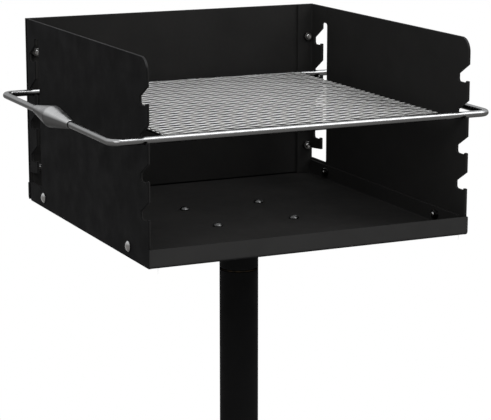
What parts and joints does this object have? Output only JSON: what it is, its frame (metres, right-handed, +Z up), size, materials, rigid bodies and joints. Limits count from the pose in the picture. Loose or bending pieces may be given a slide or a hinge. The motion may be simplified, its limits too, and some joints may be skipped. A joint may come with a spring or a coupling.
{
  "type": "park barbecue grill on a pedestal",
  "caption": "Park barbecue grill: open-fronted steel firebox that swivels on a post with a base plate, and a hook-in grate of rod and expanded mesh with steel grips.",
  "frame": {"origin": "centre of the base plate's underside, on the ground", "axes": "+Z up along the post, the firebox's open front faces -Y, +X to the right of someone who looks into it"},
  "size_m": [0.5036, 0.416, 0.954],
  "materials": {
    "enamel": "satin black heat-proof paint",
    "zinc": "bright zinc plating",
    "plated": "satin bright plating",
    "mesh_steel": "dull plated expanded steel",
    "bronze": "plain bearing bronze"
  },
  "bodies": {
    "pedestal": {"base_plate": "enamel", "post": "enamel", "thrust_washer": "bronze"},
    "firebox": {"swivel_stub": "enamel", "swivel_spindle": "zinc", "mounting_plate": "enamel", "mount_front_left_bolt": "zinc", "mount_front_left_nut": "zinc", "mount_rear_left_bolt": "zinc", "mount_rear_left_nut": "zinc", "mount_front_right_bolt": "zinc", "mount_front_right_nut": "zinc", "mount_rear_right_bolt": "zinc", "mount_rear_right_nut": "zinc", "floor_pan": "enamel", "side_panel_left": "enamel", "side_panel_right": "enamel", "back_panel": "enamel", "side_left_front_bolt": "zinc", "side_left_front_nut": "zinc", "side_left_rear_bolt": "zinc", "side_left_rear_nut": "zinc", "side_right_front_bolt": "zinc", "side_right_front_nut": "zinc", "side_right_rear_bolt": "zinc", "side_right_rear_nut": "zinc", "back_left_low_bolt": "zinc", "back_left_low_nut": "zinc", "back_left_high_bolt": "zinc", "back_left_high_nut": "zinc", "back_right_low_bolt": "zinc", "back_right_low_nut": "zinc", "back_right_high_bolt": "zinc", "back_right_high_nut": "zinc"},
    "grate": {"grate_rod_loop": "plated", "cooking_mesh": "mesh_steel", "mesh_strip_left": "plated", "mesh_strip_right": "plated", "grip_left": "plated", "grip_right": "plated"}
  },
  "joints": [
    {"name": "firebox_swivel", "type": "hinge", "parent": "pedestal", "child": "firebox", "pos_m": [0, 0, 0.654], "axis": [0, 0, 1], "continuous": true},
    {"name": "grate_unhook", "type": "slide", "parent": "firebox", "child": "grate", "axis": [0, -0.7986, 0.6019], "range_m": [0, 0.0249]}
  ]
}
